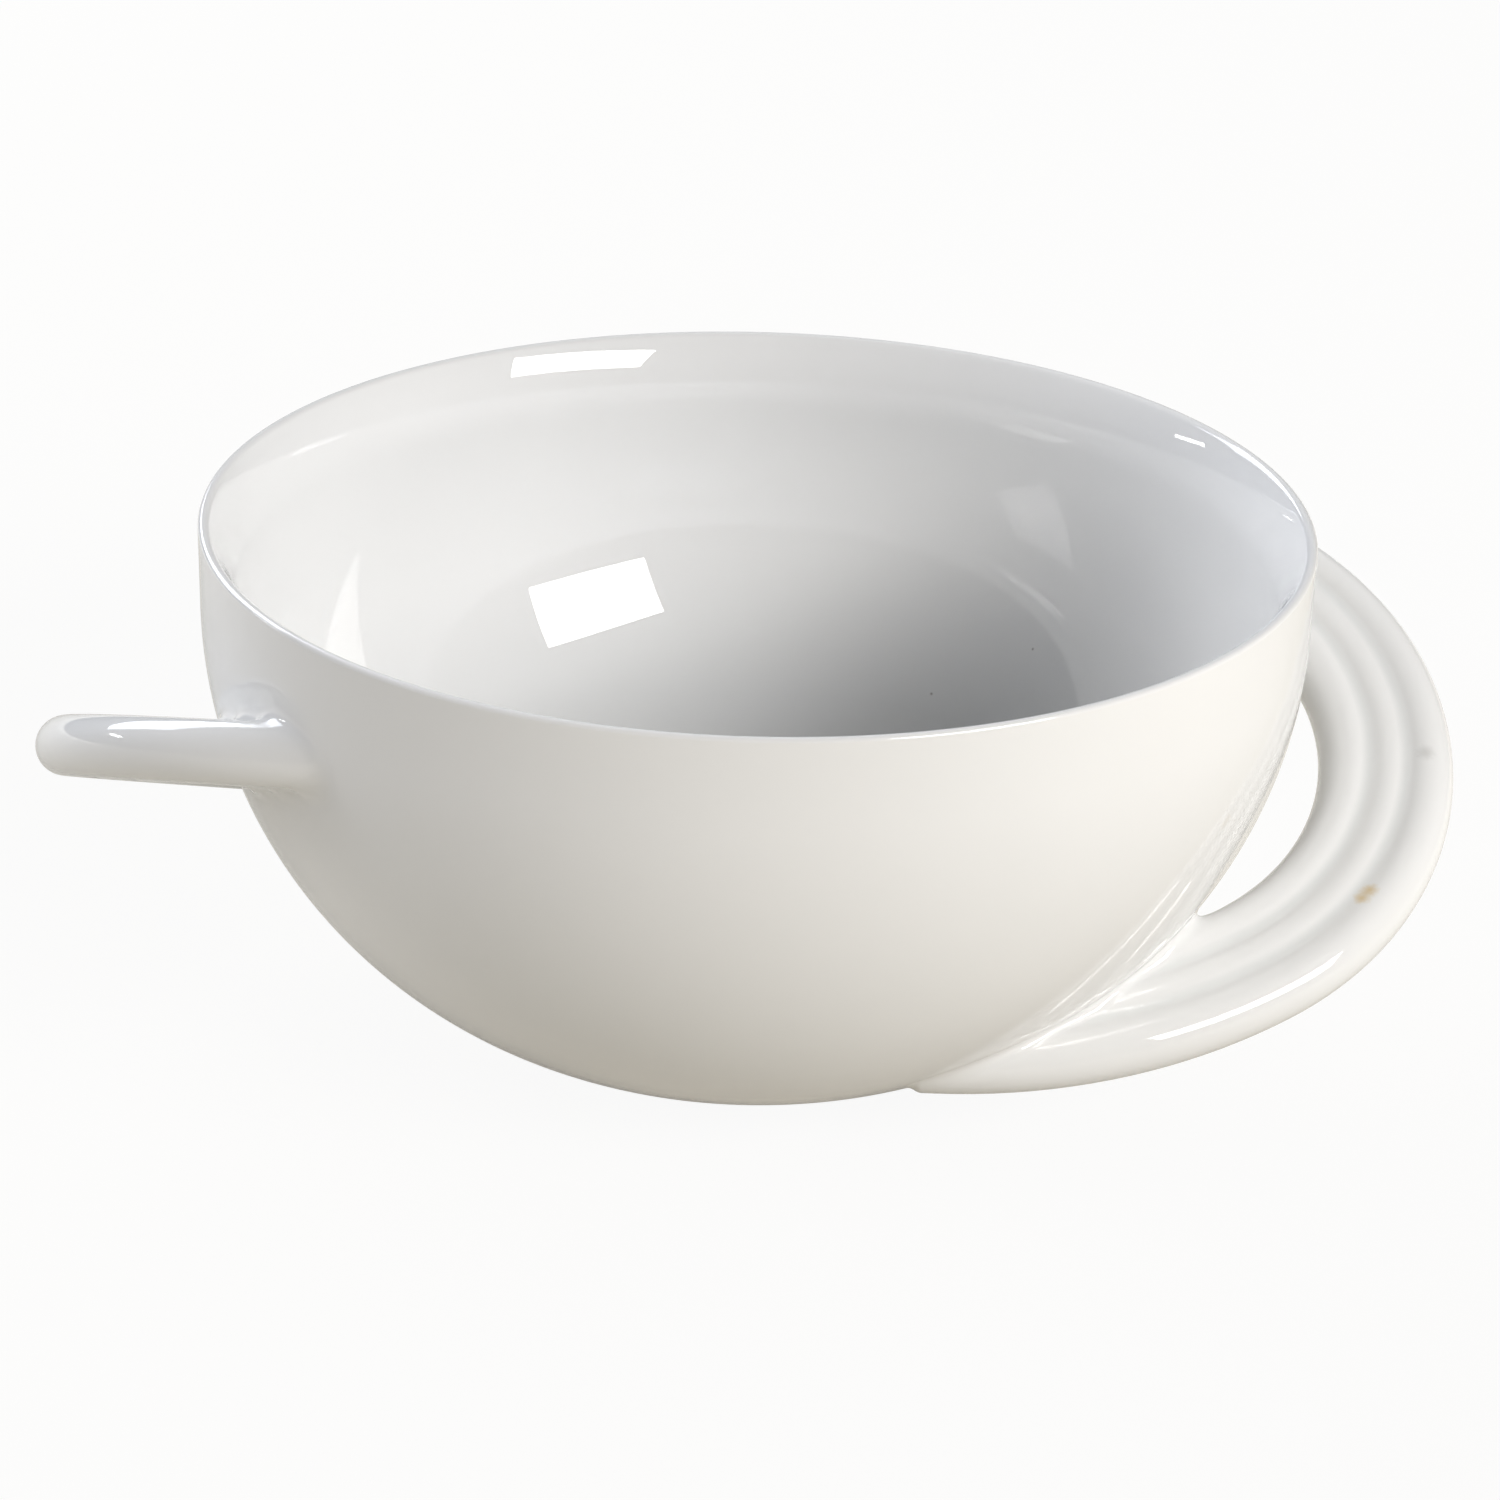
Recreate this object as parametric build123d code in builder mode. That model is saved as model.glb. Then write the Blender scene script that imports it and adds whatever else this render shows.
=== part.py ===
# Lug soup bowl in glazed porcelain: a deep round bowl on a small foot ring, with two ribbed handles.
# Each handle is a piece of a flat ring that lies on a slope: it leaves the bowl high at one side,
# swings out level with the belly and runs down to a long tail low on the other side.
# The two handles are the same casting, turned by half a turn about the bowl's axis.
# Millimetres, +Z up. The origin is the middle of the foot ring on the table, +X runs to the right handle.

import math
import os

from build123d import *

# Bowl
rim_radius = 60.0  # outer radius at the rim
neck_height = 9.4  # upright wall under the rim
belly_radius = 51.8  # arc of the outer wall in section, from the neck to the foot
belly_clearance = 0.3  # the belly's lowest point would be this far above the table
wall = 3.5
lip_width = 1.0  # top of the lip
lip_share = 0.88  # share of the neck over which the wall thins to the lip, in one long curve
lip_round = 0.45

# Foot ring
foot_radius = 20.5
foot_width = 3.5
foot_taper = 0.5
foot_recess = 1.0
foot_round = 0.5
foot_root_round = 1.0

# Handle ring: three rolls side by side, swept along a main arc and a flatter tail arc
ring_inset = 23.4  # the main arc's centre lies this far inside the rim's outer line
ring_drop = 29.9  # and this far under the rim
ring_tilt = 26.0  # slope of the ring's plane
slope_turn = 12.2  # the level line in that plane is turned this far from the line through the two handles
ring_radius = 34.4  # main arc, to the middle roll
tail_radius = 60.0  # tail arc, to the middle roll
tail_start = -53.8  # where the main arc passes into the tail
tip_sink = 2.6  # the tail ends where its outer roll has sunk this deep into the belly
tail_halvings = 16  # how closely the turn of the tail is worked out
tip_round = 1.2
high_end = 150.0  # the high end of the ring runs on into the bowl and is cut off there
roll_count = 3
roll_radius = 3.3
roll_overlap = 2.45  # how far neighbouring rolls are sunk into each other

# Luted joints
seam_radius = 1.0  # hollow fillet of slip at each root
valley_ease = 1.6  # the valleys between the rolls are this much rounder than the seam
slip_film = 0.03  # slip left between two pieces that are luted together

rim_height = belly_clearance + belly_radius + neck_height
belly_centre = (rim_radius - belly_radius, belly_clearance + belly_radius)
foot_angle = -math.degrees(math.acos((foot_radius - belly_centre[0]) / belly_radius))
lip_thinning = wall - lip_width
lip_drop = lip_share * neck_height
lip_curve_radius = (lip_drop**2 + lip_thinning**2) / (2 * lip_thinning)
lip_curve_turn = math.degrees(math.asin(lip_drop / lip_curve_radius))
roll_pitch = 2 * roll_radius - roll_overlap
valley_radius = seam_radius + valley_ease

os.makedirs("parts", exist_ok=True)


# The bowl's outside as a solid blank. The handle ends are cut to it, and the seams are rounded on it.
def bowl_blank(film):
    with BuildPart() as blank:
        with BuildSketch(Plane.XZ):
            with BuildLine():
                belly = CenterArc(belly_centre, belly_radius + film, foot_angle, -foot_angle)
                Polyline(
                    belly @ 1,
                    (rim_radius + film, rim_height),
                    (0, rim_height),
                    (0, (belly @ 0).Y),
                    belly @ 0,
                )
            make_face()
        revolve(axis=Axis.Z)
    return blank.part


# The sloping plane of the right handle's ring, with its X axis on the plane's level line.
lean = math.radians(-90 - slope_turn)
tilt = math.radians(ring_tilt)
ring_normal = (math.sin(tilt) * math.cos(lean), math.sin(tilt) * math.sin(lean), math.cos(tilt))
level_line = (-math.sin(lean), math.cos(lean), 0)
ring_plane = Plane(
    origin=(rim_radius - ring_inset, 0, rim_height - ring_drop), x_dir=level_line, z_dir=ring_normal
)
tail_shift = ring_radius - tail_radius
tail_turn = math.radians(tail_start)
tail_centre = (tail_shift * math.cos(tail_turn), tail_shift * math.sin(tail_turn))
outer_roll = tail_radius + roll_pitch * (roll_count - 1) / 2


# How deep the outer roll's middle lies in the belly after a given turn of the tail.
def tail_depth(run):
    turn = math.radians(tail_start - run)
    in_plane = (tail_centre[0] + outer_roll * math.cos(turn), tail_centre[1] + outer_roll * math.sin(turn))
    point = ring_plane.from_local_coords((*in_plane, 0))
    out = math.hypot(point.X, point.Y) - belly_centre[0]
    return belly_radius - math.hypot(out, point.Z - belly_centre[1])


# The tail's turn, found by halving a quarter turn: a smaller step is added while the tip isn't deep enough.
tail_run = 0.0
for halving in range(1, tail_halvings + 1):
    step = 90 / 2**halving
    if tail_depth(tail_run + step) < tip_sink:
        tail_run += step


# The whole ring before its ends are cut off: a main arc with a tangent tail, and three rolls in section.
def ribbed_ring(film):
    with BuildPart() as ring:
        with BuildLine(ring_plane) as course:
            CenterArc(tail_centre, tail_radius, tail_start - tail_run, tail_run)
            CenterArc((0, 0), ring_radius, tail_start, high_end - tail_start)
        path = course.wire()
        with BuildSketch(Plane(origin=path @ 0, x_dir=ring_normal, z_dir=path % 0)) as section:
            with GridLocations(0, roll_pitch, 1, roll_count):
                Circle(roll_radius + film)
            fillet(section.vertices(), radius=valley_radius - film)
        sweep(path=path)
        tip = ring.faces().sort_by_distance(path @ 0)[0]
        fillet(tip.edges(), radius=tip_round)
    return ring.part


# Bowl body: one section, turned about the axis.
with BuildPart() as bowl_body:
    with BuildSketch(Plane.XZ) as shell:
        with BuildLine():
            outside = CenterArc(belly_centre, belly_radius, foot_angle, -foot_angle)
            inside = CenterArc(belly_centre, belly_radius - wall, -90, 90)
            lip_centre = (rim_radius - wall + lip_curve_radius, rim_height - lip_drop)
            lip_curve = CenterArc(lip_centre, lip_curve_radius, 180, -lip_curve_turn)
            Polyline(outside @ 1, (rim_radius, rim_height), lip_curve @ 1)
            Line(lip_curve @ 0, inside @ 1)
            Polyline(
                inside @ 0,
                (0, (inside @ 0).Y),
                (0, foot_recess),
                (foot_radius - foot_width, foot_recess),
                (foot_radius - foot_width, 0),
                (foot_radius - foot_taper, 0),
                outside @ 0,
            )
        make_face()
        fillet(shell.vertices().group_by(Axis.Y)[-1], radius=lip_round)
        fillet(shell.vertices().group_by(Axis.Y)[0], radius=foot_round)
        foot_root = outside @ 0
        fillet(shell.vertices().sort_by_distance(foot_root)[0], radius=foot_root_round)
    revolve(axis=Axis.Z)
bowl_body.part.label = "bowl_body"
export_step(bowl_body.part, "parts/bowl_body.step")

# Handle casting: the ribbed ring with its ends cut to the bowl.
with BuildPart() as casting:
    add(ribbed_ring(0))
    add(bowl_blank(slip_film), mode=Mode.SUBTRACT)

# Slip: the line where ring and bowl meet is rounded out, and only that rounding is kept.
with BuildPart() as slip:
    add(bowl_blank(0))
    add(ribbed_ring(0))
    fillet(slip.edges(Select.NEW), radius=seam_radius)
    add(bowl_blank(slip_film), mode=Mode.SUBTRACT)
    add(ribbed_ring(slip_film), mode=Mode.SUBTRACT)
lower_slip, upper_slip = slip.solids().sort_by(Axis.Z)

# The right handle with its two seams, and the same again half a turn further round for the left one.
for side, turn in (("right", 0), ("left", 180)):
    for kind, shape in (("handle", casting.part), ("lower_seam", lower_slip), ("upper_seam", upper_slip)):
        with BuildPart() as piece:
            add(shape, rotation=(0, 0, turn))
        piece.part.label = f"{side}_{kind}"
        export_step(piece.part, f"parts/{piece.part.label}.step")
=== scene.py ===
# %% [markdown]
# # A lug soup bowl in glazed porcelain
# The object is one deep round bowl on a small foot ring, with two ribbed handles that are the same
# casting, turned by half a turn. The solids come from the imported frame. This lesson dresses them: it
# turns a finer bowl, draws the two handles again with glaze in their valleys, lays slip round their
# roots, gives everything a porcelain glaze, and lights it.

import math

import bmesh
import bpy
from mathutils import Matrix, Vector


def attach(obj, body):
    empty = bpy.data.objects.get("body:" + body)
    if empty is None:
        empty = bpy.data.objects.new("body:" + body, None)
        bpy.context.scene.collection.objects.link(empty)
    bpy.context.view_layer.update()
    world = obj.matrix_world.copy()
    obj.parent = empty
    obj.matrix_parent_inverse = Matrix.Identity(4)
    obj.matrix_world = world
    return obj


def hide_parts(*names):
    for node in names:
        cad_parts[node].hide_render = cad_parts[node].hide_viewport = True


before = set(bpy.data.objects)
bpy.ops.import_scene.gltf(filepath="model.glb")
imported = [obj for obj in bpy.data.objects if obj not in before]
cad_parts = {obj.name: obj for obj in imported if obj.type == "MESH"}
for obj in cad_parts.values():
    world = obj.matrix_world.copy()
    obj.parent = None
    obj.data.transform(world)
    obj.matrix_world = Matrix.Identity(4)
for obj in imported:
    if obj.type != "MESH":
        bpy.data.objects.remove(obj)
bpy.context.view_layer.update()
mm = 0.001

# %% [markdown]
# ## The bowl's section
# A bowl like this is jiggered: clay is spun in a mould, and a profile scrapes the inside. Its shape is
# one section turned round an axis. A sphere could be cut and thickened instead, but a section and one
# full spin are shorter and keep every arc true. The section is drawn the way a pen draws it: one vertex
# is extruded along straight runs and spun round the centres of the arcs.

# %% A pen that draws a section
def pen_down(bm, x, z):
    """Starts a line in the plane of the section, in millimetres."""
    return bmesh.ops.create_vert(bm, co=Vector((x, 0, z)) * mm)["vert"][0]


def run_to(bm, tip, x, z):
    """Draws a straight run from the last point to (x, z)."""
    tip = bmesh.ops.extrude_vert_indiv(bm, verts=[tip])["verts"][0]
    tip.co = Vector((x, 0, z)) * mm
    return tip


def swing(bm, tip, centre, degrees, steps):
    """Draws an arc from the last point round a centre. Plus degrees turn from X towards Z."""
    turned = bmesh.ops.spin(
        bm, geom=[tip], cent=Vector((centre[0], 0, centre[1])) * mm, axis=(0, -1, 0),
        angle=math.radians(degrees), steps=steps,
    )
    return [part for part in turned["geom_last"] if isinstance(part, bmesh.types.BMVert)][0]


# %% Sizes of the bowl
rim_radius, rim_height = 60.0, 61.5
belly_centre, belly_radius = (8.2, 52.1), 51.8
wall = 3.5
lip_width, lip_drop, lip_round = 1.0, 8.27, 0.45
foot_radius, foot_width, foot_taper, foot_recess = 20.5, 3.5, 0.5, 1.0
foot_round, foot_root_round = 0.5, 0.6
lip_thinning = wall - lip_width
lip_curve_radius = (lip_drop**2 + lip_thinning**2) / (2 * lip_thinning)
foot_angle = math.degrees(math.acos((foot_radius - belly_centre[0]) / belly_radius))
foot_height = belly_centre[1] - belly_radius * math.sin(math.radians(foot_angle))
print("the lip's curve has a radius of", round(lip_curve_radius, 2), "mm")
print("the foot is", round(foot_height, 2), "mm high")

# %% [markdown]
# ## Turning the bowl
# The lip is thin at the top and swells into the wall in one long curve, which makes its thin highlights.
# The corners at the lip and at the foot are rounded as vertices of the section, before the spin, because
# one vertex bevel there becomes a whole rounded edge. Long flat faces next to tight rounds would bend
# the reflections, so a weighted normal modifier lets the large faces decide the shading. The inside is
# painted darker towards the bottom: painted shade, with a faint tint of glaze gathered there. A vertex
# layer keeps how much of it lies at each height of the inside.

# %% Helpers that round, turn and keep a shape
weld_gap = 0.002 * mm


def round_corner(bm, corner, radius, segments=6):
    """Rounds one corner of the section."""
    bmesh.ops.bevel(
        bm, geom=[corner], offset=radius * mm, offset_type="OFFSET", segments=segments, profile=0.5,
        affect="VERTICES", material=-1, clamp_overlap=True,
    )


def full_turn(bm, steps):
    """Turns everything that was drawn once round Z, closes the poles and points the faces outwards."""
    bmesh.ops.spin(
        bm, geom=bm.verts[:] + bm.edges[:], cent=(0, 0, 0), axis=(0, 0, 1), angle=2 * math.pi, steps=steps,
        use_merge=True,
    )
    bmesh.ops.remove_doubles(bm, verts=bm.verts[:], dist=weld_gap)
    bmesh.ops.recalc_face_normals(bm, faces=bm.faces[:])


def make_piece(bm, name):
    """Puts a finished bmesh into a smooth-shaded object."""
    for face in bm.faces:
        face.smooth = True
    mesh = bpy.data.meshes.new(name)
    bm.to_mesh(mesh)
    bm.free()
    piece = bpy.data.objects.new(name, mesh)
    bpy.context.scene.collection.objects.link(piece)
    print(name, "has", len(mesh.polygons), "faces")
    return piece


# %% Draw the bowl's section
outside_steps, lip_steps, inside_steps = 64, 14, 72
# Painted shade with a faint glaze tint: the inside darkens from this height down, fully over this depth
pool_and_shade_top, pool_and_shade_depth = 36.0, 18.0
bm = bmesh.new()
pool_and_shade = bm.verts.layers.float.new("pool_and_shade")
tip = pen_down(bm, 0, foot_recess)
tip = run_to(bm, tip, foot_radius - foot_width, foot_recess)
foot_inner = run_to(bm, tip, foot_radius - foot_width, 0)
foot_outer = run_to(bm, foot_inner, foot_radius - foot_taper, 0)
foot_root = run_to(bm, foot_outer, foot_radius, foot_height)
tip = swing(bm, foot_root, belly_centre, foot_angle, outside_steps)
lip_outer = run_to(bm, tip, rim_radius, rim_height)
lip_inner = run_to(bm, lip_outer, rim_radius - lip_width, rim_height)
lip_centre = (rim_radius - wall + lip_curve_radius, rim_height - lip_drop)
lip_turn = math.degrees(math.asin(lip_drop / lip_curve_radius))
tip = swing(bm, lip_inner, lip_centre, lip_turn, lip_steps)
tip = run_to(bm, tip, rim_radius - wall, belly_centre[1])
outside = set(bm.verts)
tip = swing(bm, tip, belly_centre, -90, inside_steps)
run_to(bm, tip, 0, belly_centre[1] - belly_radius + wall)
# Painted shade on the inside, darker towards the bottom, with a faint glaze tint
for vert in set(bm.verts) - outside:
    vert[pool_and_shade] = min(1.0, max(0.0, (pool_and_shade_top - vert.co.z / mm) / pool_and_shade_depth))
print("the bowl's section has", len(bm.edges), "edges")

# %% Round its corners and spin it
turn_steps = 256
round_corner(bm, lip_outer, lip_round)
round_corner(bm, lip_inner, lip_round)
round_corner(bm, foot_inner, foot_round)
round_corner(bm, foot_outer, foot_round)
round_corner(bm, foot_root, foot_root_round)
full_turn(bm, turn_steps)
bowl = make_piece(bm, "porcelain_bowl")
even_normals = bowl.modifiers.new("even_normals", "WEIGHTED_NORMAL")
even_normals.weight = 50
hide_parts("bowl_body")
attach(bowl, "root")

# %% [markdown]
# ## The ribbed handles
# Each handle is cast in a two-part mould: three rolls side by side, bent along a flat arc that runs out
# into a flatter tail. A bevelled curve could make it, but its end would be hard to round. So one section
# is drawn with the same pen, as three circles with soft valleys between them, and spun twice, first
# round the ring's centre and then round the tail's. A vertex layer keeps how deep in a valley a point
# is, and the valleys are painted darker with it: painted shade, with a faint tint of gathered glaze.

# %% Sizes of a handle
ring_radius, tail_radius = 34.4, 60.0
tail_start, tail_run, high_end = -53.8, 35.9, 150.0
roll_radius, roll_pitch, valley_radius, tip_round = 3.3, 4.15, 2.6, 0.8
valley_height = math.sqrt((roll_radius + valley_radius) ** 2 - (roll_pitch / 2) ** 2)
valley_lean = math.degrees(math.atan2(valley_height, roll_pitch / 2))
end_arc_span = 2 * (180 - valley_lean)
mid_arc = 180 - 2 * valley_lean
print("rolls swing", round(end_arc_span, 1), "and", round(mid_arc, 1), "degrees in section")


# %% Draw the three rolls
end_roll_steps, mid_roll_steps = 40, 10


def draw_rolls(bm):
    """Draws the closed section of three rolls and marks its valleys for painted shade and glaze tint."""
    pool_and_shade = bm.verts.layers.float.new("pool_and_shade")
    lean = math.radians(valley_lean)
    outer = ring_radius + roll_pitch
    tip = pen_down(bm, outer - roll_radius * math.cos(lean), -roll_radius * math.sin(lean))
    tip = swing(bm, tip, (outer, 0), end_arc_span, end_roll_steps)
    valleys = []
    for side, rolls in ((1, (outer, ring_radius)), (-1, (ring_radius - roll_pitch, ring_radius))):
        for count, roll in enumerate(rolls):
            centre = (roll - side * roll_pitch / 2, side * valley_height)
            before = set(bm.verts)
            tip = swing(bm, tip, centre, -mid_arc, mid_roll_steps)
            valleys.append((Vector((centre[0], 0, centre[1])) * mm, set(bm.verts) - before))
            if count == 0:
                tip = swing(bm, tip, (ring_radius, 0), mid_arc, mid_roll_steps)
            elif side == 1:
                tip = swing(bm, tip, (ring_radius - roll_pitch, 0), end_arc_span, end_roll_steps)
    # How deep in a valley a point lies: there the handle is painted darker, painted shade with a faint
    # glaze tint
    for centre, floor in valleys:
        for vert in floor:
            across = abs(vert.co.x - centre.x) / (valley_radius * mm * math.cos(lean))
            vert[pool_and_shade] = max(0.0, 1.0 - across)
    bmesh.ops.remove_doubles(bm, verts=bm.verts[:], dist=weld_gap)


bm = bmesh.new()
draw_rolls(bm)
section = bm.edges[:]
print("the section has", len(section), "edges")

# %% Bend the rolls along the ring and the tail
ring_steps, tail_steps = 88, 20
to_tail_start = Matrix.Rotation(math.radians(tail_start), 3, "Z")
bmesh.ops.rotate(bm, cent=(0, 0, 0), matrix=to_tail_start, verts=bm.verts[:])
turned = bmesh.ops.spin(
    bm, geom=bm.verts[:] + section, cent=(0, 0, 0), axis=(0, 0, 1),
    angle=math.radians(high_end - tail_start), steps=ring_steps,
)
high_loop = [part for part in turned["geom_last"] if isinstance(part, bmesh.types.BMEdge)]
out = math.radians(tail_start)
tail_centre = Vector((math.cos(out), math.sin(out), 0)) * (ring_radius - tail_radius) * mm
loop_verts = list({vert for edge in section for vert in edge.verts})
turned = bmesh.ops.spin(
    bm, geom=loop_verts + section, cent=tail_centre, axis=(0, 0, 1),
    angle=math.radians(-tail_run), steps=tail_steps,
)
tip_loop = [part for part in turned["geom_last"] if isinstance(part, bmesh.types.BMEdge)]
print("the ring and its tail have", len(bm.faces), "faces")

# %% Close the ends and round the tip
bmesh.ops.edgeloop_fill(bm, edges=high_loop)
bmesh.ops.edgeloop_fill(bm, edges=tip_loop)
bmesh.ops.bevel(
    bm, geom=tip_loop, offset=tip_round * mm, offset_type="OFFSET", segments=6, profile=0.5, affect="EDGES",
    material=-1, clamp_overlap=True,
)
bmesh.ops.recalc_face_normals(bm, faces=bm.faces[:])
print("with both ends closed it has", len(bm.faces), "faces")

# %% [markdown]
# ## Setting the ring on its slope
# The ring lies in a sloping plane: high at the back on the right-hand side, low at the front. Three turns
# in a row could take it there, but their order is easy to get wrong. One matrix holds the plane's own
# axes and moves the flat ring in one go. The level line of the plane is its X axis.

# %% Turn the ring into its sloping plane
ring_inset, ring_drop = 23.4, 29.9
ring_origin = Vector((rim_radius - ring_inset, 0, rim_height - ring_drop)) * mm
ring_tilt, slope_turn = math.radians(26.0), math.radians(12.2)
lean = -math.pi / 2 - slope_turn
downhill = Vector((math.cos(lean), math.sin(lean), 0))
ring_normal = downhill * math.sin(ring_tilt) + Vector((0, 0, math.cos(ring_tilt)))
level_line = Vector((-math.sin(lean), math.cos(lean), 0))
slope = Matrix((level_line, ring_normal.cross(level_line), ring_normal)).transposed().to_4x4()
slope.translation = ring_origin
bmesh.ops.transform(bm, matrix=slope, verts=bm.verts[:])
whole_ring = make_piece(bm, "whole_ring")

# %% [markdown]
# ## Cutting the ends to the bowl
# The potter cuts each end of the handle to the bowl's curve before luting it on. A Boolean with a plain
# turned blank of the bowl does the same, and follows the curve as no flat cut could. The blank is a
# little smaller than the bowl, so that the ends stand in the wall.

# %% Cut the ring with a bowl blank
bite, blank_steps = 0.3, 80
bm = bmesh.new()
start = pen_down(bm, 0, belly_centre[1] - belly_radius + bite)
tip = run_to(bm, start, belly_centre[0], belly_centre[1] - belly_radius + bite)
tip = swing(bm, tip, belly_centre, 90, blank_steps)
tip = run_to(bm, tip, rim_radius - bite, rim_height)
run_to(bm, tip, 0, rim_height)
full_turn(bm, turn_steps)
blank = make_piece(bm, "bowl_blank")
cut = whole_ring.modifiers.new("cut_to_bowl", "BOOLEAN")
cut.operation = "DIFFERENCE"
cut.solver = "EXACT"
cut.object = blank
bpy.context.view_layer.update()
cut_ring = whole_ring.evaluated_get(bpy.context.evaluated_depsgraph_get())
cut_mesh = bpy.data.meshes.new_from_object(cut_ring)
bpy.data.objects.remove(whole_ring)
bpy.data.objects.remove(blank)
print("the cut ring has", len(cut_mesh.polygons), "faces")

# %% Place the right handle, and the same casting half a turn round
handles = []
for side, turn in (("right", 0), ("left", math.pi)):
    bm = bmesh.new()
    bm.from_mesh(cut_mesh)
    bmesh.ops.rotate(bm, cent=(0, 0, 0), matrix=Matrix.Rotation(turn, 3, "Z"), verts=bm.verts[:])
    handle = make_piece(bm, side + "_ribbed_handle")
    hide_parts(side + "_handle")
    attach(handle, "root")
    handles.append(handle)

# %% [markdown]
# ## The slip at the roots
# The handles are luted to the bowl with slip, and a wet fingertip draws it to a hollow round each root. A
# bevel on the line where bowl and handle meet would break up where the two run nearly side by side. So
# the hollow is found from two distances, to the bowl and to the rolls. Where one of them is 0 and the
# other as large as the slip is wide, the slip runs out on that surface. In between both are a little
# above 0, and the two change over smoothly. A strip of such points joins bowl and handle without a
# crease. Its width changes across the rolls, because a fingertip can't press equally hard everywhere.

# %% How far a point is from the bowl and from the rolls
to_ring = slope.inverted()


def bowl_gap(point):
    """How far a point lies outside the bowl, in metres."""
    across = math.hypot(point.x, point.y)
    if point.z > belly_centre[1] * mm:
        return across - rim_radius * mm
    return math.hypot(across - belly_centre[0] * mm, point.z - belly_centre[1] * mm) - belly_radius * mm


def place_in_ring(point):
    """How far a point lies across the rolls, above the ring's plane and past the tail, in millimetres."""
    flat = to_ring @ point
    around = math.degrees(math.atan2(flat.y, flat.x))
    if -150 < around < tail_start:
        arm = flat - tail_centre
        past = math.radians(tail_start - tail_run) - math.atan2(arm.y, arm.x)
        reach = math.hypot(arm.x, arm.y) / mm
        return reach - tail_radius, flat.z / mm, reach * math.sin(past)
    return math.hypot(flat.x, flat.y) / mm - ring_radius, flat.z / mm, -ring_radius


def roll_gap(point):
    """How far a point lies outside the rolls, in metres."""
    across, above, past = place_in_ring(point)
    across, above = abs(across), abs(above)
    valley = Vector((across - roll_pitch / 2, above - valley_height))
    if valley.y < 0 and abs(valley.x) * valley_height < -valley.y * roll_pitch / 2:
        gap = valley_radius - valley.length
    else:
        gap = min(math.hypot(across, above), math.hypot(across - roll_pitch, above)) - roll_radius
    inset, past = gap + tip_round, past + tip_round
    rounded = math.hypot(max(inset, 0), max(past, 0)) + min(max(inset, past), 0) - tip_round
    return rounded * mm


def away_from(gap, point):
    """The direction in which a gap grows."""
    nudge = 0.01 * mm
    steps = [Vector((nudge, 0, 0)), Vector((0, nudge, 0)), Vector((0, 0, nudge))]
    return Vector([gap(point + step) - gap(point - step) for step in steps]).normalized()


# %% Bring a point to its place in the slip
most_moves, close_enough, least_spread = 12, 0.0005 * mm, 0.02


def settle(point, bowl_target, roll_target):
    """Moves a point until it has the wanted distances to the bowl and to the rolls."""
    for attempt in range(most_moves):
        from_bowl, from_roll = away_from(bowl_gap, point), away_from(roll_gap, point)
        off_bowl, off_roll = bowl_target - bowl_gap(point), roll_target - roll_gap(point)
        if max(abs(off_bowl), abs(off_roll)) < close_enough:
            break
        lean = from_bowl.dot(from_roll)
        spread = max(1 - lean * lean, least_spread)
        move = from_bowl * (off_bowl - lean * off_roll) + from_roll * (off_roll - lean * off_bowl)
        point = point + move / spread
    return point, from_bowl, from_roll


def slip_width(point, inner, outer, begin, end):
    """The slip's width at a point. Across the rolls it changes from the inner to the outer width."""
    share = min(1.0, max(0.0, (place_in_ring(point)[0] - begin) / (end - begin)))
    return (inner + (outer - inner) * share * share * (3 - 2 * share)) * mm


# %% Follow a root
most_stops, least_stops = 600, 20


def follow_root(start, widths, stride=0.4 * mm):
    """Goes once round a root along the middle of its slip, and keeps each place with the width there."""
    stops = []
    point = start
    while len(stops) < most_stops:
        for attempt in range(4):
            width = slip_width(point, *widths)
            point, from_bowl, from_roll = settle(point, width / 4, width / 4)
        stops.append((point, width))
        if len(stops) > least_stops and (point - stops[0][0]).length < stride:
            break
        point = point + from_bowl.cross(from_roll).normalized() * stride
    return stops[:-1]


def first_touch(centre, reach, turns):
    """Follows the top of the middle roll until it comes close to the bowl."""
    for turn in turns:
        around = math.radians(turn)
        flat = centre + Vector((math.cos(around), math.sin(around), 0)) * reach * mm
        point = slope @ (flat + Vector((0, 0, roll_radius + 1)) * mm)
        if bowl_gap(point) < mm:
            return point


# Inner width, outer width, and where across the rolls the one begins and ends to change to the other
upper_widths, lower_widths = (2.0, 0.9, 4.5, 7.2), (1.9, 1.2, -8.0, 1.0)
search_begin = 40
upper_turns = range(search_begin, int(high_end))
lower_turns = range(int(tail_start), int(tail_start - tail_run), -1)
upper_stops = follow_root(first_touch(Vector((0, 0, 0)), ring_radius, upper_turns), upper_widths)
lower_stops = follow_root(first_touch(tail_centre, tail_radius, lower_turns), lower_widths)
print("the upper root has", len(upper_stops), "stops and the lower", len(lower_stops))

# %% Work out the hollow at each stop
half_rows = 9


def hollow_rows(middle, width):
    """The points across the slip at one stop, from the bowl to the rolls, each with its normal."""
    rows = {}
    for side in (-1, 1):
        point = middle
        for step in range(half_rows + 1):
            change = side * width * step / half_rows
            least = (width - abs(change)) ** 2 / (4 * width)
            point, from_bowl, from_roll = settle(point, least + max(change, 0), least + max(-change, 0))
            normal = from_bowl * (width - change) + from_roll * (width + change)
            rows[side * step] = (point, normal.normalized())
    return [rows[row] for row in range(-half_rows, half_rows + 1)]


upper_hollow = [hollow_rows(*stop) for stop in upper_stops]
lower_hollow = [hollow_rows(*stop) for stop in lower_stops]
print("each stop has", len(upper_hollow[0]), "points across the slip")


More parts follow.
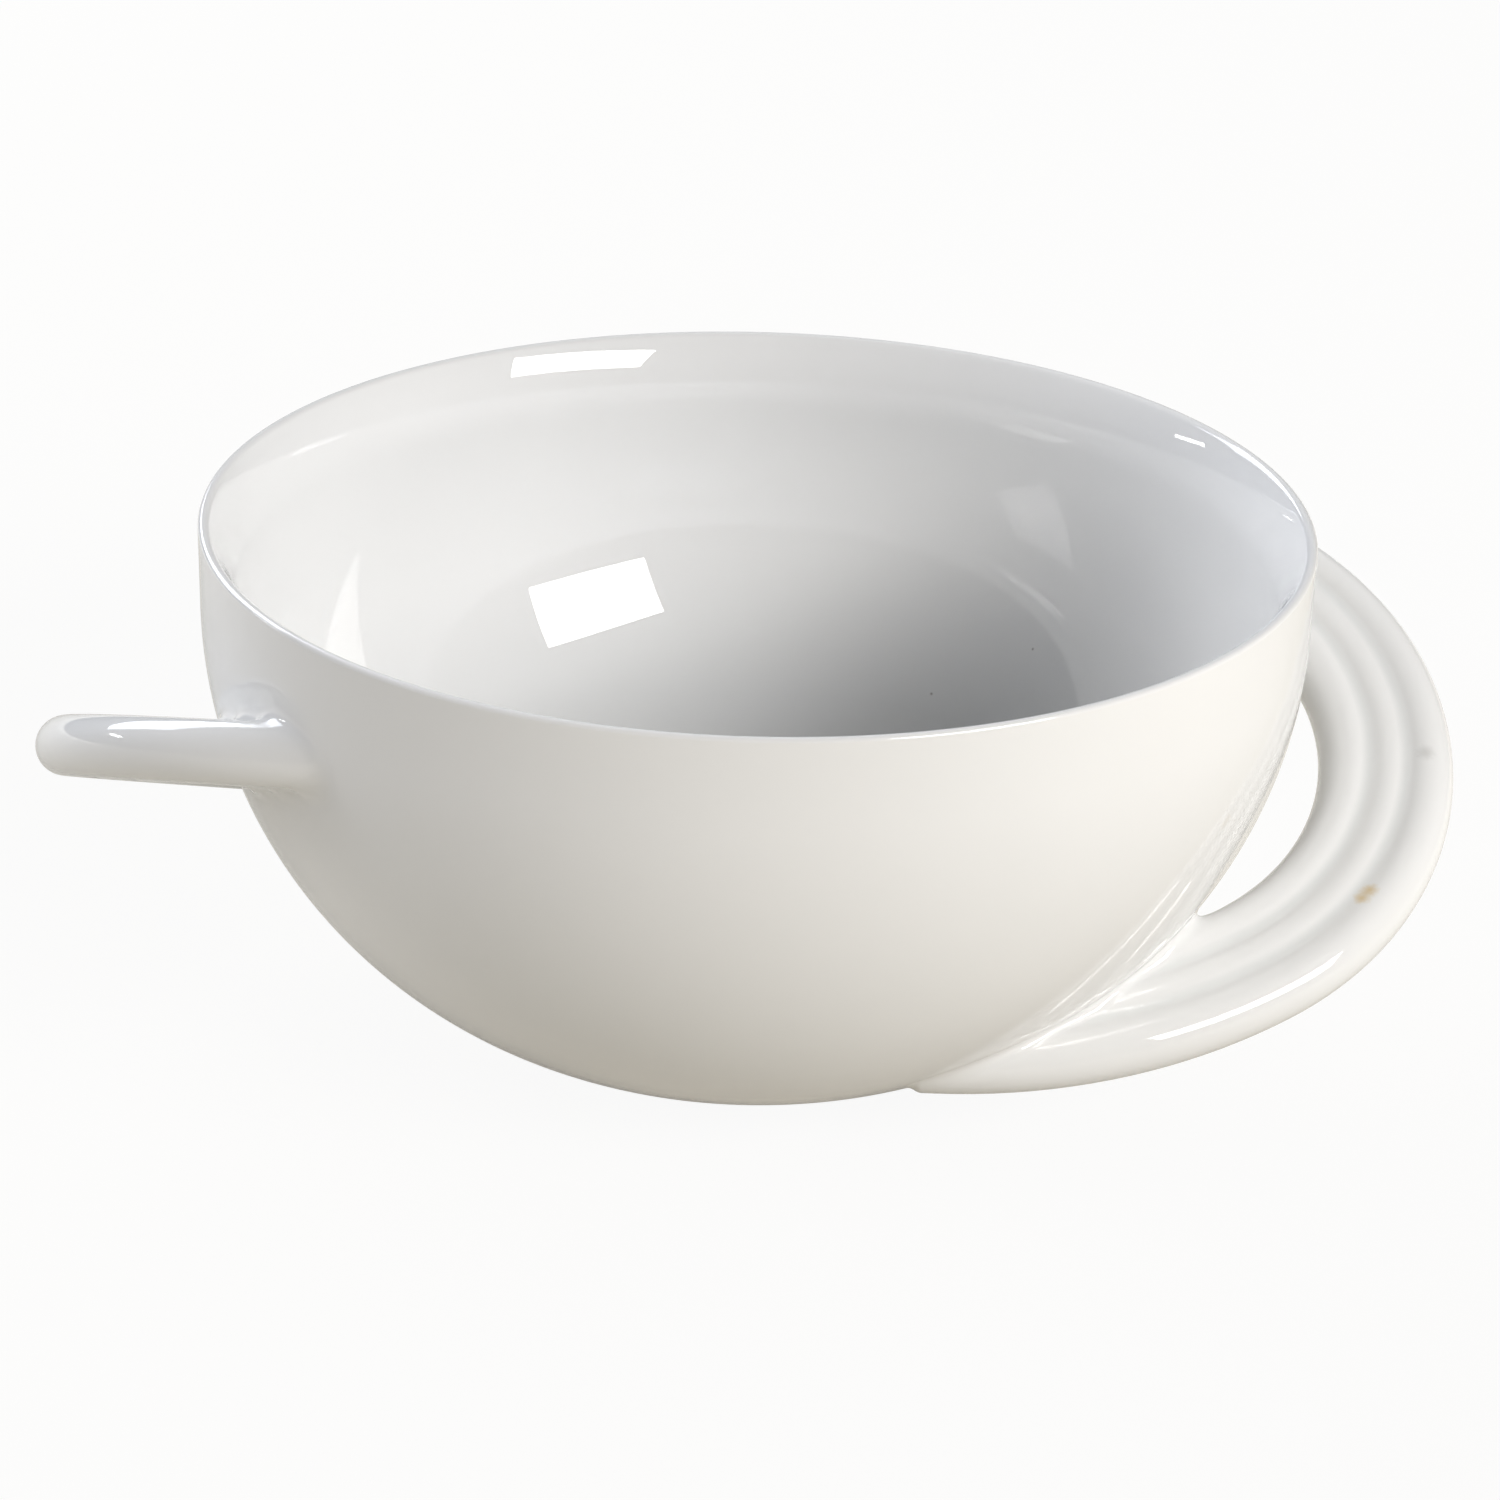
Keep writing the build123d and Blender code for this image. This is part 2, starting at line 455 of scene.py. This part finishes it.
# %% Lay a strip over the hollow
def slip_strip(name, hollow, turn):
    """Lays a grid over the rows of points and shades it with their normals."""
    bm = bmesh.new()
    facing = bm.verts.layers.float_vector.new("facing")
    bmesh.ops.create_grid(bm, x_segments=len(hollow), y_segments=2 * half_rows, size=1.0)
    for vert in bm.verts:
        stop = round((vert.co.x + 1) / 2 * len(hollow)) % len(hollow)
        row = round((vert.co.y + 1) * half_rows)
        vert.co, vert[facing] = hollow[stop][row]
    bmesh.ops.remove_doubles(bm, verts=bm.verts[:], dist=0.001 * mm)
    for face in bm.faces:
        face.normal_update()
    if sum(face.normal.dot(face.verts[0][facing]) for face in bm.faces) < 0:
        bmesh.ops.reverse_faces(bm, faces=bm.faces[:])
    around = Matrix.Rotation(turn, 3, "Z")
    bmesh.ops.rotate(bm, cent=(0, 0, 0), matrix=around, verts=bm.verts[:])
    normals = [around @ vert[facing] for vert in bm.verts]
    strip = make_piece(bm, name)
    strip.data.normals_split_custom_set_from_vertices(normals)
    return strip


strips = []
for side, turn in (("right", 0), ("left", math.pi)):
    for level, hollow in (("upper", upper_hollow), ("lower", lower_hollow)):
        strip = slip_strip(f"{side}_{level}_slip", hollow, turn)
        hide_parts(f"{side}_{level}_seam")
        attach(strip, "root")
        strips.append(strip)

# %% [markdown]
# ## The glaze
# Porcelain is white through and through, under a clear glossy glaze. Up close it isn't even: its surface
# is faintly wavy, it gathers in hollows with a faint tint, the hollows are painted darker as painted
# shade, and a few iron specks show. A painted image could hold all that, but the pieces would have to
# be unwrapped for it. Three node groups that read the place on the object need no unwrapping, and all
# pieces share them.

# %% Helpers for node groups
def new_group(name, inputs, outputs):
    """Makes a shader node group with named sockets."""
    group = bpy.data.node_groups.new(name, "ShaderNodeTree")
    for title, kind, value in inputs:
        socket = group.interface.new_socket(title, in_out="INPUT", socket_type=kind)
        if value is not None:
            socket.default_value = value
    for title, kind in outputs:
        group.interface.new_socket(title, in_out="OUTPUT", socket_type=kind)
    return group, group.nodes.new("NodeGroupInput"), group.nodes.new("NodeGroupOutput")


def add(tree, kind, **settings):
    """Adds a node and sets its properties."""
    node = tree.nodes.new(kind)
    for key, value in settings.items():
        setattr(node, key, value)
    return node


# %% A node group for the glaze's waves
waves, wave_in, wave_out = new_group(
    "glaze_waves",
    [("Position", "NodeSocketVector", None), ("Scale", "NodeSocketFloat", 60.0)],
    [("Height", "NodeSocketFloat")],
)
ripple = add(waves, "ShaderNodeTexNoise")
ripple.inputs["Detail"].default_value = 1.0
waves.links.new(wave_in.outputs["Position"], ripple.inputs["Vector"])
waves.links.new(wave_in.outputs["Scale"], ripple.inputs["Scale"])
waves.links.new(ripple.outputs["Fac"], wave_out.inputs["Height"])
print(waves.name, "has", len(waves.nodes), "nodes")

# %% [markdown]
# ## The glaze's colour
# Where glaze lies thick it shows a little more of its own colour, and those hollows are also painted
# darker as painted shade. The vertex layer of each piece says where that is, and a slow noise keeps it
# from looking even. The same noise varies the gloss by a hair. The foot ring is wiped clean before
# firing, or it would stick to the kiln's shelf. There a height cuts the glaze off, and below it the
# biscuit is darker and matt. A second material would do, but the mesh would have to be cut at that height.

# %% A node group for the glaze's colour
tints_and_shade, tint_in, tint_out = new_group(
    "glaze_tint_and_shade",
    [("Position", "NodeSocketVector", None), ("Pool And Shade", "NodeSocketFloat", 0.0),
     ("Body", "NodeSocketColor", (0.8, 0.8, 0.8, 1)), ("Pooled And Shaded", "NodeSocketColor", (0.7, 0.75, 0.75, 1)),
     ("Bare Below", "NodeSocketFloat", -1.0)],
    [("Color", "NodeSocketColor"), ("Roughness", "NodeSocketFloat")],
)
drift_share = 0.25
drift = add(tints_and_shade, "ShaderNodeTexNoise")
drift.inputs["Scale"].default_value = 45.0
drift.inputs["Detail"].default_value = 2.0
tints_and_shade.links.new(tint_in.outputs["Position"], drift.inputs["Vector"])
# How far the colour goes towards the darker pooled one: random drift, plus painted shade with a faint glaze
# tint in the hollows
gather_and_shade = add(tints_and_shade, "ShaderNodeMath", operation="MULTIPLY_ADD")
gather_and_shade.inputs[1].default_value = drift_share
tints_and_shade.links.new(drift.outputs["Fac"], gather_and_shade.inputs[0])
tints_and_shade.links.new(tint_in.outputs["Pool And Shade"], gather_and_shade.inputs[2])
blend = add(tints_and_shade, "ShaderNodeMix", data_type="RGBA")
tints_and_shade.links.new(gather_and_shade.outputs[0], blend.inputs["Factor"])
tints_and_shade.links.new(tint_in.outputs["Body"], blend.inputs["A"])
tints_and_shade.links.new(tint_in.outputs["Pooled And Shaded"], blend.inputs["B"])
print("the colour drifts by up to", drift_share, "of the way to the pooled one")

# %% The bare foot and the gloss
biscuit_colour = (0.62, 0.58, 0.52, 1)
least_rough, most_rough = 0.005, 0.025
split = add(tints_and_shade, "ShaderNodeSeparateXYZ")
tints_and_shade.links.new(tint_in.outputs["Position"], split.inputs[0])
bare = add(tints_and_shade, "ShaderNodeMath", operation="LESS_THAN")
tints_and_shade.links.new(split.outputs["Z"], bare.inputs[0])
tints_and_shade.links.new(tint_in.outputs["Bare Below"], bare.inputs[1])
biscuit = add(tints_and_shade, "ShaderNodeMix", data_type="RGBA")
biscuit.inputs["B"].default_value = biscuit_colour
tints_and_shade.links.new(bare.outputs[0], biscuit.inputs["Factor"])
tints_and_shade.links.new(blend.outputs["Result"], biscuit.inputs["A"])
tints_and_shade.links.new(biscuit.outputs["Result"], tint_out.inputs["Color"])
polish = add(tints_and_shade, "ShaderNodeMapRange")
polish.inputs["To Min"].default_value = least_rough
polish.inputs["To Max"].default_value = most_rough
tints_and_shade.links.new(drift.outputs["Fac"], polish.inputs["Value"])
matt = add(tints_and_shade, "ShaderNodeMath", operation="MAXIMUM")
tints_and_shade.links.new(polish.outputs["Result"], matt.inputs[0])
tints_and_shade.links.new(bare.outputs[0], matt.inputs[1])
tints_and_shade.links.new(matt.outputs[0], tint_out.inputs["Roughness"])
print(tints_and_shade.name, "has", len(tints_and_shade.nodes), "nodes")

# %% [markdown]
# ## Flecks in the glaze
# Iron in the clay or a grain of kiln dust melts into the glaze as a rusty or sooty dot. A small disc on
# the surface would stand out from the glaze, so a fleck is colour only: it lies where the distance to
# its place is less than a radius, and a fine noise makes that edge ragged.

# %% A node group for a fleck
fleck_grain, fleck_spread = 1800.0, 1.6
fleck, fleck_in, fleck_out = new_group(
    "glaze_fleck",
    [("Position", "NodeSocketVector", None), ("Place", "NodeSocketVector", None),
     ("Radius", "NodeSocketFloat", 0.5 * mm), ("Depth", "NodeSocketFloat", 1.0)],
    [("Mask", "NodeSocketFloat")],
)
away = add(fleck, "ShaderNodeVectorMath", operation="DISTANCE")
fleck.links.new(fleck_in.outputs["Position"], away.inputs[0])
fleck.links.new(fleck_in.outputs["Place"], away.inputs[1])
ragged = add(fleck, "ShaderNodeTexNoise")
ragged.inputs["Scale"].default_value = fleck_grain
fleck.links.new(fleck_in.outputs["Position"], ragged.inputs["Vector"])
edge = add(fleck, "ShaderNodeMath", operation="MULTIPLY")
fleck.links.new(fleck_in.outputs["Radius"], edge.inputs[0])
fleck.links.new(ragged.outputs["Fac"], edge.inputs[1])
reach = add(fleck, "ShaderNodeMath", operation="MULTIPLY_ADD")
reach.inputs[1].default_value = fleck_spread
fleck.links.new(edge.outputs[0], reach.inputs[0])
fleck.links.new(fleck_in.outputs["Radius"], reach.inputs[2])
fade = add(fleck, "ShaderNodeMapRange", interpolation_type="SMOOTHSTEP")
fade.inputs["From Min"].default_value = 0.0
fleck.links.new(away.outputs["Value"], fade.inputs["Value"])
fleck.links.new(reach.outputs[0], fade.inputs["From Max"])
fleck.links.new(fleck_in.outputs["Depth"], fade.inputs["To Min"])
fade.inputs["To Max"].default_value = 0.0
fleck.links.new(fade.outputs["Result"], fleck_out.inputs["Mask"])
print(fleck.name, "has", len(fleck.nodes), "nodes")

# %% [markdown]
# ## The porcelain
# The bowl and the handles come out of one kiln, so one function makes both their materials. They differ
# in the colour of their hollows, painted shade with a faint glaze tint, in their flecks, and in the bare
# foot. The waves are so shallow that a bump is enough, where real ones in the mesh would take millions
# of faces.

# %% A fleck over a colour
def stain(tree, place, colour, spot, radius, depth, stain_colour):
    """Lays one fleck over a colour and hands the new colour on."""
    mark = add(tree, "ShaderNodeGroup", node_tree=fleck)
    mark.inputs["Place"].default_value = Vector(spot) * mm
    mark.inputs["Radius"].default_value = radius * mm
    mark.inputs["Depth"].default_value = depth
    tree.links.new(place.outputs["Object"], mark.inputs["Position"])
    stained = add(tree, "ShaderNodeMix", data_type="RGBA")
    stained.inputs["B"].default_value = stain_colour
    tree.links.new(mark.outputs["Mask"], stained.inputs["Factor"])
    tree.links.new(colour, stained.inputs["A"])
    return stained.outputs["Result"]


# %% The porcelain material
body_colour, glaze_ior = (0.735, 0.735, 0.725, 1), 1.58
wave_strength, wave_depth = 0.05, 0.4 * mm


def porcelain(name, pooled_and_shaded_colour, flecks, bare_below=-1.0):
    """A glazed porcelain with flecks and painted shade in its hollows, which is bare below a height in
    millimetres.
    """
    material = bpy.data.materials.new(name)
    material.use_nodes = True
    tree = material.node_tree
    shader = tree.nodes["Principled BSDF"]
    shader.inputs["IOR"].default_value = glaze_ior
    place = add(tree, "ShaderNodeTexCoord")
    tint = add(tree, "ShaderNodeGroup", node_tree=tints_and_shade)
    tint.inputs["Body"].default_value = body_colour
    tint.inputs["Pooled And Shaded"].default_value = pooled_and_shaded_colour
    tint.inputs["Bare Below"].default_value = bare_below * mm
    tree.links.new(place.outputs["Object"], tint.inputs["Position"])
    # The vertex layer that paints the hollows darker: painted shade with a faint glaze tint
    pooled_and_shaded = add(tree, "ShaderNodeAttribute", attribute_name="pool_and_shade")
    tree.links.new(pooled_and_shaded.outputs["Fac"], tint.inputs["Pool And Shade"])
    colour = tint.outputs["Color"]
    for one_fleck in flecks:
        colour = stain(tree, place, colour, *one_fleck)
    tree.links.new(colour, shader.inputs["Base Color"])
    tree.links.new(tint.outputs["Roughness"], shader.inputs["Roughness"])
    wave = add(tree, "ShaderNodeGroup", node_tree=waves)
    tree.links.new(place.outputs["Object"], wave.inputs["Position"])
    bump = add(tree, "ShaderNodeBump")
    bump.inputs["Strength"].default_value = wave_strength
    bump.inputs["Distance"].default_value = wave_depth
    tree.links.new(wave.outputs["Height"], bump.inputs["Height"])
    tree.links.new(bump.outputs["Normal"], shader.inputs["Normal"])
    return material


# %% Glaze the pieces
# Each fleck has its place, radius, depth of colour and colour
rust, soot = (0.62, 0.47, 0.24, 1), (0.30, 0.29, 0.27, 1)
bowl_flecks = [((26.53, 37.91, 22.37), 0.16, 1.0, soot), ((37.9, 34.07, 29.65), 0.16, 1.0, soot)]
handle_flecks = [
    ((63.3, -25.8, 25.5), 0.7, 0.8, rust),
    ((64.3, -25.0, 26.1), 0.7, 0.8, rust),
    ((74.0, -9.1, 34.8), 0.8, 0.3, soot),
]
# Colours of the hollows, darker than the body: painted shade with a faint tint of gathered glaze
bowl_pooled_and_shaded, handle_pooled_and_shaded = (0.62, 0.625, 0.62, 1), (0.69, 0.70, 0.69, 1)
bowl_glaze = porcelain("bowl_glaze_finish", bowl_pooled_and_shaded, bowl_flecks, bare_below=0.2)
handle_glaze = porcelain("handle_glaze_finish", handle_pooled_and_shaded, handle_flecks)
bowl.data.materials.append(bowl_glaze)
for handle in handles:
    handle.data.materials.clear()
    handle.data.materials.append(handle_glaze)
for strip in strips:
    strip.data.materials.append(bowl_glaze)
print("glazed:", [piece.name for piece in [bowl, *handles, *strips]])

# %% [markdown]
# ## The table
# The bowl stands on a plain white table top that fills the picture. More light could bleach the table,
# but it would bleach the porcelain too. So the camera sees a mix: mostly an even white, and for the rest
# pale paper, which keeps a soft shadow. Only a small share of that white shows in the glaze, and none of
# it lights the bowl.

# %% The white table
half_table = 2.0
bm = bmesh.new()
bmesh.ops.create_grid(bm, x_segments=1, y_segments=1, size=half_table)
table = make_piece(bm, "white_table")


def seen_directly(tree, straight, mirrored):
    """A share for camera and transmission rays, another for glossy rays, and 0 for soft light."""
    path = add(tree, "ShaderNodeLightPath")
    through = add(tree, "ShaderNodeMath", operation="MAXIMUM")
    tree.links.new(path.outputs["Is Camera Ray"], through.inputs[0])
    tree.links.new(path.outputs["Is Transmission Ray"], through.inputs[1])
    gloss = add(tree, "ShaderNodeMath", operation="MULTIPLY")
    gloss.inputs[1].default_value = mirrored
    tree.links.new(path.outputs["Is Glossy Ray"], gloss.inputs[0])
    share = add(tree, "ShaderNodeMath", operation="MULTIPLY_ADD")
    share.inputs[1].default_value = straight
    tree.links.new(through.outputs[0], share.inputs[0])
    tree.links.new(gloss.outputs[0], share.inputs[2])
    return share.outputs[0]


# %% The table's paper
paper_colour = (0.61, 0.575, 0.495, 1)
table_white, table_mirrored = 0.93, 0.15
table_paper = bpy.data.materials.new("white_paper")
table_paper.use_nodes = True
tree = table_paper.node_tree
tree.nodes.remove(tree.nodes["Principled BSDF"])
paper = add(tree, "ShaderNodeBsdfDiffuse")
paper.inputs["Color"].default_value = paper_colour
glow = add(tree, "ShaderNodeEmission")
mix = add(tree, "ShaderNodeMixShader")
tree.links.new(seen_directly(tree, table_white, table_mirrored), mix.inputs["Fac"])
tree.links.new(paper.outputs[0], mix.inputs[1])
tree.links.new(glow.outputs[0], mix.inputs[2])
tree.links.new(mix.outputs[0], tree.nodes["Material Output"].inputs["Surface"])
table.data.materials.append(table_paper)
print("the table is", 2 * half_table, "m wide and", table_white, "of it is even white to the camera")

# %% [markdown]
# ## The room
# Beyond the table the camera sees plain white as well. To the bowl the room is nearly dark: a bright room
# would show in the whole glaze and wash out its shading. The world uses the same mix as the table.

# %% The room
room_white, room_mirrored, room_level = 1.0, 0.05, 0.07
room = bpy.data.worlds.new("room")
bpy.context.scene.world = room
room.use_nodes = True
tree = room.node_tree
dim = tree.nodes["Background"]
dim.inputs["Color"].default_value = (1.0, 1.0, 1.0, 1)
dim.inputs["Strength"].default_value = room_level
white = add(tree, "ShaderNodeBackground")
white.inputs["Color"].default_value = (1, 1, 1, 1)
mix = add(tree, "ShaderNodeMixShader")
tree.links.new(seen_directly(tree, room_white, room_mirrored), mix.inputs["Fac"])
tree.links.new(dim.outputs[0], mix.inputs[1])
tree.links.new(white.outputs[0], mix.inputs[2])
tree.links.new(mix.outputs[0], tree.nodes["World Output"].inputs["Surface"])
print("the room lights the bowl at a level of", room_level)

# %% [markdown]
# ## The soft boxes
# A studio lights glossy ware with large soft boxes, because the glaze mirrors every lamp as a shape. The
# key box stands low at the front right and shows twice, on the lip and inside the bowl. A strip behind
# gives the left handle its bright top, and a small window gives the lip a glint. Three pale walls fill
# the shade. They are hidden from mirror rays, so that their edges don't lie across the bowl.

# %% A soft box
aim_height = 0.035


def soft_box(name, azimuth, elevation, reach, width, height, radiance, colour=(1, 1, 1)):
    """A rectangular lamp that faces the bowl. Radiance is what a mirror would show of it."""
    lamp = bpy.data.lights.new(name, "AREA")
    lamp.shape = "RECTANGLE"
    lamp.size, lamp.size_y = width, height
    lamp.energy = radiance * math.pi * width * height
    lamp.color = colour
    holder = bpy.data.objects.new(name, lamp)
    around, up = math.radians(azimuth), math.radians(elevation)
    away = Vector((math.cos(around) * math.cos(up), math.sin(around) * math.cos(up), math.sin(up)))
    holder.location = Vector((0, 0, aim_height)) + away * reach
    holder.rotation_euler = away.to_track_quat("Z", "Y").to_euler()
    bpy.context.scene.collection.objects.link(holder)
    return holder


# %% Set up the lamps
# Azimuth and elevation in degrees, reach, width and height in metres, radiance and colour
key = soft_box("key_box", -52.8, 28.4, 1.2, 0.64, 0.34, 20.4, (1.0, 0.98, 0.968))
back_strip = soft_box("back_strip", 118, 28, 1.2, 0.8, 0.44, 5.4, (0.875, 0.914, 1.0))
glint = soft_box("glint_window", 152.5, 15.5, 1.2, 0.19, 0.04, 20.0)
back = soft_box("back_wall", 125, 26, 1.4, 2.0, 1.1, 1.75, (0.89, 0.925, 1.0))
left = soft_box("left_wall", 166, 18, 1.4, 1.6, 0.7, 3.0, (0.93, 0.94, 1.0))
right = soft_box("right_wall", 15, 30, 1.5, 2.0, 1.3, 1.1)
for wall_light in (back, left, right):
    wall_light.visible_glossy = False
print("lamps:", [lamp.name for lamp in (key, back_strip, glint, back, left, right)])

# %% [markdown]
# ## The camera
# The camera looks down on the bowl from the front, with a long lens from far enough off that the rim stays
# a calm ellipse. A constraint could aim it, but two directions written down say its tilt exactly.

# %% Place the camera
eye = Vector((-50.53, -400.01, 217.45)) * mm
ahead = Vector((0.113475, 0.902206, -0.416110))
upward = Vector((0.024857, 0.416106, 0.908976))
lens = bpy.data.cameras.new("camera")
lens.sensor_width = 36.0
lens.lens = 96.0
camera = bpy.data.objects.new("camera", lens)
aim = Matrix((ahead.cross(upward), upward, -ahead)).transposed().to_4x4()
camera.matrix_world = Matrix.Translation(eye) @ aim
bpy.context.scene.collection.objects.link(camera)
bpy.context.scene.camera = camera
bpy.context.scene.view_settings.view_transform = "Standard"
print("the camera stands", round(eye.length / mm), "mm from the middle of the foot")
